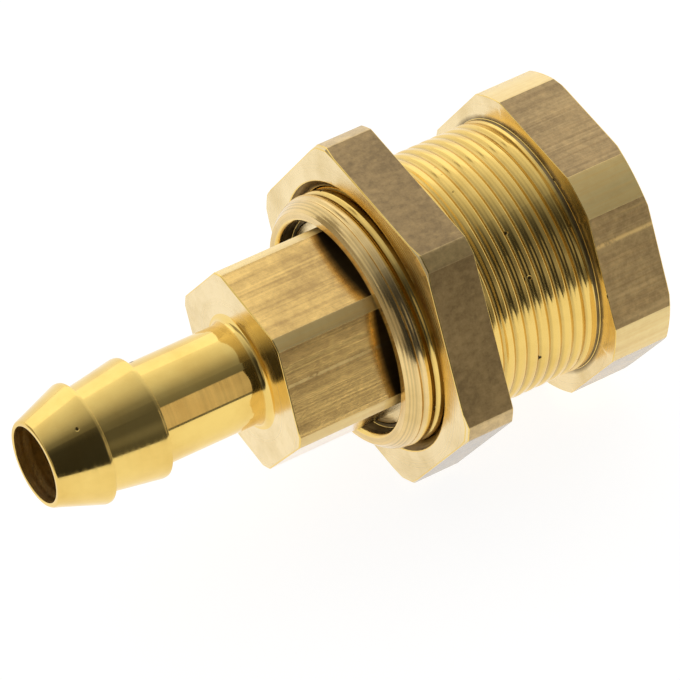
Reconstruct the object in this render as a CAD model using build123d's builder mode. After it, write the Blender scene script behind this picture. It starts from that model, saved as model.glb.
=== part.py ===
from build123d import *
from math import cos, hypot, radians, sin, sqrt, tan
import os

# Panel-mount air quick coupler: a brass socket with a push-in release sleeve and a barbed hose tail.
# The axis lies along X: the plug enters from +X and the hose goes over the tail at -X.
# The origin is on the axis, in the rear face of the body's hexagon, which seats on the panel.
# All sizes are in millimetres. A name that ends in _R is a radius, and _X is a place along the axis.

# Lock nut: its wrench size is the main diameter, and the others follow from it
NUT_FLATS = 24.0
NUT_LAND_RISE = 1.475
NUT_LAND = NUT_FLATS + 2 * NUT_LAND_RISE
NUT_WALL = 2.1
NUT_THICKNESS = 4.0
NUT_COUNTERSINK = 0.65
NUT_CHAMFER = 0.2
NUT_SETBACK = 2.35

# Body: hexagon bar, turned down behind the hexagon to a threaded barrel, with the tail's thread inside
PANEL_THREAD = NUT_FLATS - 2 * NUT_WALL
HEX_STEP = 1.1
BODY_FLATS = PANEL_THREAD + 2 * HEX_STEP
LAND_RISE = 0.85
BODY_LAND = BODY_FLATS + 2 * LAND_RISE
HEX_LENGTH = 5.0
HEX_CHAMFER = 0.35
HEX_CHAMFER_ANGLE = 30.0
BARREL_LENGTH = 16.3
BARREL_CHAMFER = 0.8
PANEL_PITCH = 1.0
PANEL_GROOVE = 0.5
PANEL_GROOVE_DEPTH = 0.35
PANEL_RELIEF = 0.8
RECESS_WALL = 1.6
RECESS_BORE = PANEL_THREAD - 2 * RECESS_WALL
RECESS_DEPTH = 1.3
RECESS_CHAMFER = 0.2
RECESS_STEP = 0.35
TAIL_THREAD = RECESS_BORE - 2 * RECESS_STEP
THREAD_RUNOUT = 0.4

# Front pocket of the body, its web and the snap ring's groove
POCKET_WALL = 1.8
POCKET = PANEL_THREAD - 2 * POCKET_WALL
POCKET_DEPTH = 13.0
POCKET_CHAMFER = 0.3
WEB_THICKNESS = 1.3
RING_SETBACK = 0.45
RING_THICKNESS = 0.7
RING_GAP = 3.2
RING_GROOVE_DEPTH = 0.5
RING_GROOVE = POCKET + 2 * RING_GROOVE_DEPTH

# Socket core: flange, nose, plug bore, tip bore and valve seat
SLEEVE_SPACE = 3.85
PLUG_BORE = POCKET - 2 * SLEEVE_SPACE
PLUG_BORE_DEPTH = 3.6
CORE_WALL = 1.85
CORE_NOSE = PLUG_BORE + 2 * CORE_WALL
NOSE_REACH = 8.6
NOSE_ROUND = 0.4
FLANGE_STEP = 0.55
CORE_FLANGE = TAIL_THREAD - 2 * FLANGE_STEP
FLANGE_THICKNESS = 2.0
TIP_STEP = 0.7
TIP_BORE = PLUG_BORE - 2 * TIP_STEP
TIP_BORE_DEPTH = 5.3
SEAT_WIDTH = 1.65
SEAT_CHAMBER = TIP_BORE + 2 * SEAT_WIDTH

# Locking balls and release sleeve
BALL = 2.4
BALL_COUNT = 6
BALL_SETBACK = 1.8
BALL_PROTRUSION = 0.42
BALL_LIP = 0.1
RELEASE_SLOPE = 0.35
SLEEVE_TRAVEL = 1.2
SLEEVE_SKIRT = 2.4
SLEEVE_RELIEF = 0.8
MOUTH_ROOM = 0.15
SLEEVE_MOUTH = PLUG_BORE + 2 * MOUTH_ROOM
MOUTH_LENGTH = 4.2
MOUTH_CHAMFER = 0.4
LIP_WALL = 1.8
LIP_DIAMETER = SLEEVE_MOUTH + 2 * LIP_WALL
LIP_REACH = 1.3
LIP_ROUND = 0.4

# Valve poppet, and the chamber in the hose tail that it slides back into
CHAMBER_STEP = 0.2
VALVE_CHAMBER = SEAT_CHAMBER - 2 * CHAMBER_STEP
CHAMBER_DEPTH = 8.7
HEAD_ROOM = 0.7
POPPET_HEAD = VALVE_CHAMBER - 2 * HEAD_ROOM
POPPET_HEAD_LENGTH = 1.3
SHOULDER_ROOM = 0.35
POPPET_SHOULDER = TIP_BORE - 2 * SHOULDER_ROOM
SHOULDER_LENGTH = 0.5
POPPET_STEM = 3.2
STEM_LENGTH = 1.9
STEM_RIBS = 3
RIB_THICKNESS = 1.0
SPIGOT_LENGTH = 1.2

# Seals
SEAL_INSET = 0.15
VALVE_SEAL_RING = TIP_BORE - 2 * SEAL_INSET
VALVE_SEAL_CORD = 1.2
PLUG_SEAL_CORD = 1.36
PLUG_SEAL_SETBACK = 1.9
PLUG_SEAL_PROTRUSION = 0.18
TAIL_SEAL_RING = (VALVE_CHAMBER + TAIL_THREAD) / 2
TAIL_SEAL_CORD = 1.1

# Springs: the sleeve's lies midway between the core's nose and the pocket
SLEEVE_WIRE = 0.7
SLEEVE_COIL = (CORE_NOSE + POCKET) / 2
SLEEVE_TURNS = 3
COIL_INSET = 0.8
VALVE_WIRE = 0.6
VALVE_COIL = POPPET_HEAD - 2 * COIL_INSET
VALVE_TURNS = 6

# Hose tail: hexagon, neck and two barbs, screwed into the body's rear
TAIL_LAND_ROOM = 0.5
TAIL_LAND = RECESS_BORE - 2 * TAIL_LAND_ROOM
TAIL_LAND_RISE = 0.8
TAIL_FLATS = TAIL_LAND - 2 * TAIL_LAND_RISE
TAIL_CLOCK = 2.0
TAIL_HEX_REACH = 8.1
SPRING_SEAT = 0.55
TAIL_BORE = VALVE_COIL - 2 * SPRING_SEAT
NECK_WALL = 0.95
NECK_DIAMETER = TAIL_BORE + 2 * NECK_WALL
NECK_LENGTH = 8.6
NECK_FILLET = 0.6
BARB_HEIGHT = 0.75
BARB_DIAMETER = NECK_DIAMETER + 2 * BARB_HEIGHT
BARB_ROOT_RISE = 0.05
BARB_ROOT = NECK_DIAMETER + 2 * BARB_ROOT_RISE
BARB_LAND = 0.25
BARB_PITCH = 4.65
NOSE_WALL = 0.38
NOSE_DIAMETER = TAIL_BORE + 2 * NOSE_WALL
NOSE_LENGTH = 4.0
NOSE_EDGE = 0.1

# Clearances: running fits are for pieces that slide on each other, the seal's for its groove
THREAD_FIT = 0.05
SLIDE_FIT = 0.05
LOCATING_FIT = 0.05
BALL_FIT = 0.02
SEAL_FIT = 0.02
SEAL_SIDE_ROOM = 0.07
RING_FIT = 0.05
LIP_ROOM = 0.5
SLEEVE_PLAY = 0.15
SPRING_FIT = 0.02
SPIGOT_FIT = 0.3
RIB_FIT = 0.1

# Places along the axis
SEAT_X = 0.0
FRONT_X = SEAT_X + HEX_LENGTH
REAR_X = SEAT_X - BARREL_LENGTH
WEB_FRONT_X = FRONT_X - POCKET_DEPTH
WEB_REAR_X = WEB_FRONT_X - WEB_THICKNESS
CORE_REAR_X = WEB_REAR_X - FLANGE_THICKNESS
CORE_FRONT_X = WEB_FRONT_X + NOSE_REACH
TIP_BORE_X = CORE_FRONT_X - PLUG_BORE_DEPTH
SEAT_CONE_X = TIP_BORE_X - TIP_BORE_DEPTH
SEAT_CONE_END_X = SEAT_CONE_X - (SEAT_CHAMBER - TIP_BORE) / 2
RECESS_X = REAR_X + RECESS_DEPTH
TAIL_HEX_X = REAR_X - TAIL_HEX_REACH
NECK_END_X = TAIL_HEX_X - NECK_LENGTH
FIRST_BARB_X = NECK_END_X - BARB_PITCH
TAIL_END_X = FIRST_BARB_X - NOSE_LENGTH
CHAMBER_END_X = CORE_REAR_X - CHAMBER_DEPTH
NUT_REAR_X = REAR_X + NUT_SETBACK
NUT_FRONT_X = NUT_REAR_X + NUT_THICKNESS
RING_FRONT_X = FRONT_X - RING_SETBACK
RING_REAR_X = RING_FRONT_X - RING_THICKNESS
BALL_X = CORE_FRONT_X - BALL_SETBACK
SLEEVE_REAR_X = BALL_X - SLEEVE_SKIRT
SLEEVE_SHOULDER_X = RING_REAR_X - SLEEVE_PLAY
LIP_FRONT_X = FRONT_X + LIP_REACH
MOUTH_REAR_X = LIP_FRONT_X - MOUTH_LENGTH
PLUG_SEAL_X = TIP_BORE_X - PLUG_SEAL_SETBACK

# Ball circle, and the release cone that follows the balls with BALL_FIT to spare
BALL_R = BALL / 2
BALL_CIRCLE_R = PLUG_BORE / 2 - BALL_PROTRUSION + BALL_R
SLEEVE_BORE_R = CORE_NOSE / 2 + SLIDE_FIT
CONE_AT_BALL_R = BALL_CIRCLE_R + (BALL_R + BALL_FIT) * hypot(1.0, RELEASE_SLOPE)
CONE_REAR_X = BALL_X - (CONE_AT_BALL_R - SLEEVE_BORE_R) / RELEASE_SLOPE
CONE_FRONT_X = BALL_X + SLEEVE_TRAVEL + SLEEVE_RELIEF
CONE_FRONT_R = CONE_AT_BALL_R + RELEASE_SLOPE * (CONE_FRONT_X - BALL_X)

# The valve's O-ring lies SEAL_FIT off the 45 degree seat in the core
VALVE_SEAL_R = VALVE_SEAL_RING / 2
SEAT_OFFSET = (VALVE_SEAL_CORD / 2 + SEAL_FIT) * sqrt(2)
VALVE_SEAL_X = SEAT_CONE_X - (VALVE_SEAL_R + SEAT_OFFSET - TIP_BORE / 2)
SEAL_GROOVE_HALF = VALVE_SEAL_CORD / 2 + SEAL_SIDE_ROOM
SHOULDER_REAR_X = VALVE_SEAL_X + SEAL_GROOVE_HALF
SHOULDER_FRONT_X = SHOULDER_REAR_X + SHOULDER_LENGTH
HEAD_FRONT_X = VALVE_SEAL_X - SEAL_GROOVE_HALF
HEAD_REAR_X = HEAD_FRONT_X - POPPET_HEAD_LENGTH

# The plug's O-ring stands into the tip bore by its protrusion
PLUG_SEAL_R = TIP_BORE / 2 - PLUG_SEAL_PROTRUSION + PLUG_SEAL_CORD / 2

os.makedirs("parts", exist_ok=True)


def turn(outline, mode=Mode.ADD):
    """Revolve a closed outline of (x, radius) points about the coupler's axis."""
    with BuildSketch(Plane.XZ) as section:
        with BuildLine():
            Polyline(*outline, close=True)
        make_face()
    revolve(section.sketch, axis=Axis.X, mode=mode)


def lathe(steps, mode=Mode.SUBTRACT):
    """Revolve a stepped (x, radius) line closed along the axis, to cut a hole or clip a bar."""
    turn([(steps[0][0], 0), *steps, (steps[-1][0], 0)], mode)


def hexagon_bar(flats, start, end, clock=0.0):
    """Extrude a hexagon with a flat at the bottom, turned by clock degrees about the axis."""
    with BuildSketch(Plane.YZ.offset(start)) as section:
        RegularPolygon(flats / 2, 6, major_radius=False, rotation=clock)
    extrude(section.sketch, amount=end - start)


def o_ring(x, ring_r, cord):
    """Make a seal ring of round cord about the axis."""
    with BuildSketch(Plane.XZ) as section:
        with Locations((x, ring_r)):
            Circle(cord / 2)
    revolve(section.sketch, axis=Axis.X)


def coil_spring(start, end, coil, wire, turns):
    """Wind a round wire between two seats along the axis."""
    travel = end - start - wire
    with BuildLine() as centre_line:
        Helix(travel / turns, travel, coil / 2, center=(start + wire / 2, 0, 0), direction=(1, 0, 0))
    path = centre_line.wire()
    with BuildSketch(Plane(path @ 0, z_dir=path % 0)) as section:
        Circle(wire / 2)
    sweep(section.sketch, path=path, is_frenet=True)


def finish(piece, name):
    """Label a piece and write it to its own file."""
    piece.part.label = name
    export_step(piece.part, f"parts/{name}.step")


# Body: the land turns the hexagon's corners down, and the front edge has a wrench chamfer.
# The panel thread is drawn as plain rings, one groove to each pitch, from the chamfer to its relief
barrel_r = PANEL_THREAD / 2
thread_length = BARREL_LENGTH - BARREL_CHAMFER - PANEL_RELIEF
thread_line = []
for turn_number in range(int(thread_length / PANEL_PITCH)):
    groove_x = REAR_X + BARREL_CHAMFER + (turn_number + 0.5) * PANEL_PITCH
    thread_line += [
        (groove_x - PANEL_GROOVE / 2, barrel_r),
        (groove_x, barrel_r - PANEL_GROOVE_DEPTH),
        (groove_x + PANEL_GROOVE / 2, barrel_r),
    ]
land_r = BODY_LAND / 2
chamfer_r = land_r - HEX_CHAMFER
chamfer_run = HEX_CHAMFER * tan(radians(HEX_CHAMFER_ANGLE))
thread_bore_r = TAIL_THREAD / 2 + THREAD_FIT
flange_bore_r = CORE_FLANGE / 2 + LOCATING_FIT
web_bore_r = CORE_NOSE / 2 + LOCATING_FIT
pocket_r = POCKET / 2
recess_r = RECESS_BORE / 2
with BuildPart() as body:
    hexagon_bar(BODY_FLATS, SEAT_X, FRONT_X)
    lathe([
        (SEAT_X, land_r),
        (FRONT_X - chamfer_run, land_r),
        (FRONT_X, chamfer_r),
    ], mode=Mode.INTERSECT)
    lathe([
        (REAR_X, barrel_r - BARREL_CHAMFER),
        (REAR_X + BARREL_CHAMFER, barrel_r),
        *thread_line,
        (SEAT_X, barrel_r),
    ], mode=Mode.ADD)
    lathe([
        (REAR_X, recess_r + RECESS_CHAMFER),
        (REAR_X + RECESS_CHAMFER, recess_r),
        (RECESS_X, recess_r),
        (RECESS_X, thread_bore_r),
        (CORE_REAR_X + THREAD_RUNOUT, thread_bore_r),
        (CORE_REAR_X + THREAD_RUNOUT, flange_bore_r),
        (WEB_REAR_X, flange_bore_r),
        (WEB_REAR_X, web_bore_r),
        (WEB_FRONT_X, web_bore_r),
        (WEB_FRONT_X, pocket_r),
        (FRONT_X - POCKET_CHAMFER, pocket_r),
        (FRONT_X, pocket_r + POCKET_CHAMFER),
    ])
    lathe([
        (RING_REAR_X - RING_FIT, RING_GROOVE / 2),
        (RING_FRONT_X + RING_FIT, RING_GROOVE / 2),
    ])
finish(body, "body")

# Lock nut: countersunk on both sides, with its wrench chamfer on the rear side only
nut_bore_r = barrel_r + THREAD_FIT
sink_r = nut_bore_r + NUT_COUNTERSINK
with BuildPart() as lock_nut:
    hexagon_bar(NUT_FLATS, NUT_REAR_X, NUT_FRONT_X)
    lathe([
        (NUT_REAR_X, NUT_LAND / 2 - NUT_CHAMFER),
        (NUT_REAR_X + NUT_CHAMFER, NUT_LAND / 2),
        (NUT_FRONT_X, NUT_LAND / 2),
    ], mode=Mode.INTERSECT)
    lathe([
        (NUT_REAR_X, sink_r),
        (NUT_REAR_X + NUT_COUNTERSINK, nut_bore_r),
        (NUT_FRONT_X - NUT_COUNTERSINK, nut_bore_r),
        (NUT_FRONT_X, sink_r),
    ])
finish(lock_nut, "lock_nut")

# Hose tail: turned from one bar, with a spring chamber in front and a groove for its seal
neck_r = NECK_DIAMETER / 2
barb_r = BARB_DIAMETER / 2
seal_groove_half = TAIL_SEAL_CORD / 2 + SEAL_SIDE_ROOM
seal_groove_x = CORE_REAR_X - TAIL_SEAL_CORD - 2 * SEAL_FIT
with BuildPart() as hose_tail:
    hexagon_bar(TAIL_FLATS, TAIL_HEX_X, RECESS_X, clock=TAIL_CLOCK)
    lathe([(TAIL_HEX_X, TAIL_LAND / 2), (RECESS_X, TAIL_LAND / 2)], mode=Mode.INTERSECT)
    lathe([(RECESS_X, TAIL_THREAD / 2), (CORE_REAR_X, TAIL_THREAD / 2)], mode=Mode.ADD)
    with BuildSketch(Plane.XZ):
        with BuildLine():
            Polyline(
                (TAIL_HEX_X, 0),
                (TAIL_END_X, 0),
                (TAIL_END_X, NOSE_DIAMETER / 2 - NOSE_EDGE),
                (TAIL_END_X + NOSE_EDGE, NOSE_DIAMETER / 2),
                (FIRST_BARB_X - BARB_LAND, barb_r),
                (FIRST_BARB_X, barb_r),
                (FIRST_BARB_X, BARB_ROOT / 2),
                (NECK_END_X - BARB_LAND, barb_r),
                (NECK_END_X, barb_r),
                (NECK_END_X, neck_r),
                (TAIL_HEX_X - NECK_FILLET, neck_r),
            )
            RadiusArc(
                (TAIL_HEX_X - NECK_FILLET, neck_r),
                (TAIL_HEX_X, neck_r + NECK_FILLET),
                NECK_FILLET,
            )
            Line((TAIL_HEX_X, neck_r + NECK_FILLET), (TAIL_HEX_X, 0))
        make_face()
    revolve(axis=Axis.X)
    lathe([
        (TAIL_END_X, TAIL_BORE / 2),
        (CHAMBER_END_X, TAIL_BORE / 2),
        (CHAMBER_END_X, VALVE_CHAMBER / 2),
        (CORE_REAR_X, VALVE_CHAMBER / 2),
    ])
    turn([
        (seal_groove_x, TAIL_SEAL_RING / 2 - seal_groove_half),
        (seal_groove_x, TAIL_SEAL_RING / 2 + seal_groove_half),
        (CORE_REAR_X, TAIL_SEAL_RING / 2 + seal_groove_half),
        (CORE_REAR_X, TAIL_SEAL_RING / 2 - seal_groove_half),
    ], mode=Mode.SUBTRACT)
finish(hose_tail, "hose_tail")

with BuildPart() as tail_seal:
    o_ring(CORE_REAR_X - TAIL_SEAL_CORD / 2 - SEAL_FIT, TAIL_SEAL_RING / 2, TAIL_SEAL_CORD)
finish(tail_seal, "tail_seal")

# Socket core: stepped bore, groove for the plug's seal, valve seat and a ring of ball holes
nose_r = CORE_NOSE / 2
plug_bore_r = PLUG_BORE / 2
tip_bore_r = TIP_BORE / 2
plug_seal_half = PLUG_SEAL_CORD / 2 + SEAL_SIDE_ROOM
plug_seal_floor_r = PLUG_SEAL_R + PLUG_SEAL_CORD / 2 + SEAL_FIT
ball_hole_r = BALL_R + BALL_FIT
ball_angles = [360 / BALL_COUNT * k for k in range(BALL_COUNT)]
# The drill point leaves a lip at the bore that the ball rests in without touching
lip_half_chord = sqrt((BALL_R + BALL_FIT) ** 2 - (BALL_CIRCLE_R - plug_bore_r - BALL_LIP) ** 2)
with BuildPart() as socket_core:
    lathe([
        (CORE_REAR_X, CORE_FLANGE / 2),
        (WEB_REAR_X, CORE_FLANGE / 2),
        (WEB_REAR_X, nose_r),
        (CORE_FRONT_X - NOSE_ROUND, nose_r),
        (CORE_FRONT_X, nose_r - NOSE_ROUND),
    ], mode=Mode.ADD)
    lathe([
        (CORE_REAR_X, SEAT_CHAMBER / 2),
        (SEAT_CONE_END_X, SEAT_CHAMBER / 2),
        (SEAT_CONE_X, tip_bore_r),
        (TIP_BORE_X, tip_bore_r),
        (TIP_BORE_X, plug_bore_r),
        (CORE_FRONT_X, plug_bore_r),
    ])
    lathe([
        (PLUG_SEAL_X - plug_seal_half, plug_seal_floor_r),
        (PLUG_SEAL_X + plug_seal_half, plug_seal_floor_r),
    ])
    for angle in ball_angles:
        outward = Plane((BALL_X, 0, 0), x_dir=(1, 0, 0), z_dir=(0, cos(radians(angle)), sin(radians(angle))))
        with Locations(outward.offset(plug_bore_r + BALL_LIP)):
            Cylinder(ball_hole_r, nose_r, align=(Align.CENTER, Align.CENTER, Align.MIN), mode=Mode.SUBTRACT)
        with Locations(outward):
            Cylinder(lip_half_chord, nose_r, align=(Align.CENTER, Align.CENTER, Align.MIN), mode=Mode.SUBTRACT)
finish(socket_core, "socket_core")

with BuildPart() as plug_seal:
    o_ring(PLUG_SEAL_X, PLUG_SEAL_R, PLUG_SEAL_CORD)
finish(plug_seal, "plug_seal")

# Valve poppet: head with a spring spigot, groove for its seal, and a ribbed stem that the plug pushes
stem_r = POPPET_STEM / 2
stem_front_x = SHOULDER_FRONT_X + STEM_LENGTH
spigot_r = VALVE_COIL / 2 - VALVE_WIRE / 2 - SPIGOT_FIT
groove_floor_r = VALVE_SEAL_R - VALVE_SEAL_CORD / 2 - SEAL_FIT
with BuildPart() as valve_poppet:
    lathe([
        (HEAD_REAR_X - SPIGOT_LENGTH, spigot_r),
        (HEAD_REAR_X, spigot_r),
        (HEAD_REAR_X, POPPET_HEAD / 2),
        (HEAD_FRONT_X, POPPET_HEAD / 2),
        (HEAD_FRONT_X, groove_floor_r),
        (SHOULDER_REAR_X, groove_floor_r),
        (SHOULDER_REAR_X, POPPET_SHOULDER / 2),
        (SHOULDER_FRONT_X, POPPET_SHOULDER / 2),
        (SHOULDER_FRONT_X, stem_r),
        (stem_front_x, stem_r),
    ], mode=Mode.ADD)
    with BuildSketch(Plane.YZ.offset(SHOULDER_FRONT_X)):
        with PolarLocations(0, STEM_RIBS):
            Rectangle(tip_bore_r - RIB_FIT, RIB_THICKNESS, align=(Align.MIN, Align.CENTER))
    extrude(amount=STEM_LENGTH)
finish(valve_poppet, "valve_poppet")

with BuildPart() as valve_seal:
    o_ring(VALVE_SEAL_X, VALVE_SEAL_R, VALVE_SEAL_CORD)
finish(valve_seal, "valve_seal")

with BuildPart() as valve_spring:
    coil_spring(CHAMBER_END_X + SPRING_FIT, HEAD_REAR_X - SPRING_FIT, VALVE_COIL, VALVE_WIRE, VALVE_TURNS)
finish(valve_spring, "valve_spring")

# Release sleeve: slides in the pocket, and its cone lets the balls out when it is pushed in
sleeve_r = pocket_r - SLIDE_FIT
mouth_r = SLEEVE_MOUTH / 2
lip_r = LIP_DIAMETER / 2
with BuildPart() as release_sleeve:
    lathe([
        (SLEEVE_REAR_X, sleeve_r),
        (SLEEVE_SHOULDER_X, sleeve_r),
        (SLEEVE_SHOULDER_X, lip_r),
        (LIP_FRONT_X - LIP_ROUND, lip_r),
        (LIP_FRONT_X, lip_r - LIP_ROUND),
    ], mode=Mode.ADD)
    lathe([
        (SLEEVE_REAR_X, SLEEVE_BORE_R),
        (CONE_REAR_X, SLEEVE_BORE_R),
        (CONE_FRONT_X, CONE_FRONT_R),
        (MOUTH_REAR_X, CONE_FRONT_R),
        (MOUTH_REAR_X, mouth_r),
        (LIP_FRONT_X - MOUTH_CHAMFER, mouth_r),
        (LIP_FRONT_X, mouth_r + MOUTH_CHAMFER),
    ])
finish(release_sleeve, "release_sleeve")

with BuildPart() as sleeve_spring:
    coil_spring(WEB_FRONT_X + SPRING_FIT, SLEEVE_REAR_X - SPRING_FIT, SLEEVE_COIL, SLEEVE_WIRE, SLEEVE_TURNS)
finish(sleeve_spring, "sleeve_spring")

# Retaining ring: a flat snap ring with its gap at the top
ring_outer_r = RING_GROOVE / 2 - RING_FIT
ring_inner_r = lip_r + LIP_ROOM
with BuildPart() as retaining_ring:
    with BuildSketch(Plane.YZ.offset(RING_REAR_X)):
        Circle(ring_outer_r)
        Circle(ring_inner_r, mode=Mode.SUBTRACT)
        Rectangle(RING_GAP, RING_GROOVE, align=(Align.CENTER, Align.MIN), mode=Mode.SUBTRACT)
    extrude(amount=RING_THICKNESS)
finish(retaining_ring, "retaining_ring")

# Locking balls, one in each hole of the core
for number, angle in enumerate(ball_angles, start=1):
    with BuildPart() as locking_ball:
        y = BALL_CIRCLE_R * cos(radians(angle))
        z = BALL_CIRCLE_R * sin(radians(angle))
        with Locations((BALL_X, y, z)):
            Sphere(BALL_R)
    finish(locking_ball, f"locking_ball_{number}")
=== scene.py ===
from math import acos, atan2, cos, degrees, pi, radians, sin, tan

import bmesh
import bpy
import numpy as np
from mathutils import Matrix, Vector


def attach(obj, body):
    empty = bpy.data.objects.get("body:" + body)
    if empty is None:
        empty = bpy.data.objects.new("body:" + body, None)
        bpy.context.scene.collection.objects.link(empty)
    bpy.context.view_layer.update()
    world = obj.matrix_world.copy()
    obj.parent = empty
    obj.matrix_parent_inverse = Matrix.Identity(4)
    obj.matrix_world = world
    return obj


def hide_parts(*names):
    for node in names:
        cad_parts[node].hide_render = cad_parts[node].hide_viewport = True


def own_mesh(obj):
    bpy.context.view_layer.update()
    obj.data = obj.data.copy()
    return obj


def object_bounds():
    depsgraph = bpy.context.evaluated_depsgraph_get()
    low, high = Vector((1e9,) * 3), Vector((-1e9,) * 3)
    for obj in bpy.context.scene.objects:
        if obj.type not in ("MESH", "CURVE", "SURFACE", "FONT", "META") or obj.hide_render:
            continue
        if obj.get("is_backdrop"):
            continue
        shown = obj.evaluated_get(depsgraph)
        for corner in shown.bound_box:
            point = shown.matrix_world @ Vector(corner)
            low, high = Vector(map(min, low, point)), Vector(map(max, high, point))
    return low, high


# The coupler's turned brass pieces, rebuilt finely round the X axis on the CAD frame.
# Sizes are in millimetres, as in the part's source, and become metres where a mesh is made.
MM = 0.001

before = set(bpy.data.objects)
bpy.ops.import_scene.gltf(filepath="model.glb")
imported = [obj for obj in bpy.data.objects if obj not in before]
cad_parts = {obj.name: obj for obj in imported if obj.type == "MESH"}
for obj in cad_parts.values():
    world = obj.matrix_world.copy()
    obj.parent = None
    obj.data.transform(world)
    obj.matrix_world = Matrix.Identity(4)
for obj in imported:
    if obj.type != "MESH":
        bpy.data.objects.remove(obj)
cad_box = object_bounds()

# Places along the axis
TAIL_END_X = -41.65
FIRST_BARB_X = -37.65
NECK_END_X = -33.0
TAIL_HEX_X = -24.4
CHAMBER_END_X = -20.0
REAR_X = -16.3
RECESS_X = -15.0
NUT_REAR_X = -13.95
NUT_FRONT_X = -9.95
CORE_REAR_X = -11.3
WEB_REAR_X = -9.3
WEB_FRONT_X = -8.0
SEAT_X = 0.0
FRONT_X = 5.0

# Body
BODY_FLATS = 22.0
BODY_LAND = 23.7
HEX_CHAMFER_R = 11.5
HEX_CHAMFER_ANGLE = 30.0
BARREL_R = 9.9
BARREL_CHAMFER = 0.8
CHAMFER_RUN = 1.5
RECESS_R = 8.3
RECESS_CHAMFER = 0.2
TAIL_THREAD_R = 7.95
FLANGE_BORE_R = 7.45
WEB_BORE_R = 6.15
POCKET_R = 8.1
POCKET_CHAMFER = 0.3
GROOVE_R = 8.6
GROOVE_REAR_X = 3.8
GROOVE_FRONT_X = 4.6
THREAD_FIT = 0.05
THREAD_RUNOUT = 0.4

# Panel thread: the crests' share of the pitch, the first groove's place from the rear end, the length over
# which the grooves run out in front, and the turns begun behind the rear end so that it is covered
THREAD_PITCH = 1.0
THREAD_ROOT_R = 9.71
THREAD_CREST = 0.2
THREAD_START = 0.7
THREAD_END_X = -0.3
THREAD_FADE = 0.45
THREAD_LEAD_IN = 2

# Lock nut
NUT_FLATS = 24.0
NUT_LAND = 26.95
NUT_CHAMFER = 0.2
NUT_COUNTERSINK = 0.65

# Hose tail, turned by TAIL_CLOCK degrees from the other hexagons
TAIL_FLATS = 14.0
TAIL_LAND = 15.6
TAIL_CLOCK = 2.0
TAIL_BORE_R = 2.95
NECK_R = 3.9
NECK_FILLET = 0.6
BARB_R = 4.65
BARB_ROOT_R = 3.95
BARB_LAND = 0.25
NOSE_R = 3.33
NOSE_EDGE = 0.1
CHAMBER_R = 5.0
SEAL_GROOVE_X = -12.44
SEAL_GROOVE_INNER_R = 5.855
SEAL_GROOVE_OUTER_R = 7.095

# Release sleeve
SLEEVE_REAR_X = -3.6
CONE_REAR_X = -1.693
CONE_FRONT_X = 0.8
MOUTH_REAR_X = 2.1
SLEEVE_SHOULDER_X = 3.7
LIP_FRONT_X = 6.3
SLEEVE_R = 8.05
SLEEVE_BORE_R = 6.15
CONE_FRONT_R = 7.0226
MOUTH_R = 4.4
MOUTH_CHAMFER = 0.4
LIP_R = 6.2
LIP_ROUND = 0.4

# Springs: seats, coil, wire and turns
SLEEVE_SPRING_X = (-7.98, -3.62)
SLEEVE_COIL_R = 7.1
SLEEVE_WIRE = 0.7
SLEEVE_TURNS = 3.6
VALVE_SPRING_X = (-19.98, -11.017)
VALVE_COIL_R = 3.5
VALVE_WIRE = 0.6
VALVE_TURNS = 7.6

# A spring's closed turns at each end, and their pitch for each millimetre of wire
CLOSED_TURNS = 0.8
CLOSED_PITCH = 1.02

BALLS = 6

# Hexagons: number of sides, and degrees from one to the next
HEX_SIDES = 6
HEX_STEP = 60.0

# Fineness of the meshes
FLAT_STEPS = 12
LAND_STEPS = 8
ROUND_STEPS = 120
THREAD_SAMPLES = 24
WIRE_STEPS = 12
TURN_STEPS = 48
WELD = 1e-4
SHARP_DEGREES = 42.0
COIL_SHARP_DEGREES = 50.0

# How far edges are broken, the rounding above which more steps are used, and the share of a side that a
# rounding may take
EDGE_ROUND = 0.05
EDGE_DEGREES = 0.2
WIDE_ROUND = 0.3
WIDE_STEPS = 8
NARROW_STEPS = 4
SIDE_SHARE = 0.45

# Surfaces of a turned piece, each with its own finish. A hexagon's side is flat or land, by its angle
TURNED = "turned"
FACED = "faced"
INNER = "inner"
NECK = "neck"
SEAT = "seat"
RIM = "rim"
HEX = "hex"
FLAT = "flat"
LAND = "land"
THREAD = "thread"
OPEN = "open"


def hex_angles(flats, land, clock=0.0):
    """Angles round a hexagon bar in radians, close together at the flats' edges, and which steps are flat."""
    half = degrees(acos(flats / land))
    angles = []
    on_flat = []
    for side in range(HEX_SIDES):
        centre = HEX_STEP * (side + 0.5) + clock
        flat_start = centre - half
        flat_end = centre + half
        next_start = centre + HEX_STEP - half
        angles += list(np.linspace(flat_start + EDGE_DEGREES, flat_end - EDGE_DEGREES, FLAT_STEPS + 1))
        angles += list(np.linspace(flat_end + EDGE_DEGREES, next_start - EDGE_DEGREES, LAND_STEPS + 1))
        on_flat += [True] * FLAT_STEPS + [False] * (LAND_STEPS + 2)
    return np.radians(angles), on_flat


def hex_radius(angles, flats, land, clock=0.0):
    """Radius of a hexagon bar with its corners turned down to a land, at each angle."""
    from_flat = (np.degrees(angles) - clock) % HEX_STEP - HEX_STEP / 2
    return np.minimum(land / 2, flats / 2 / np.cos(np.radians(from_flat)))


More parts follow.
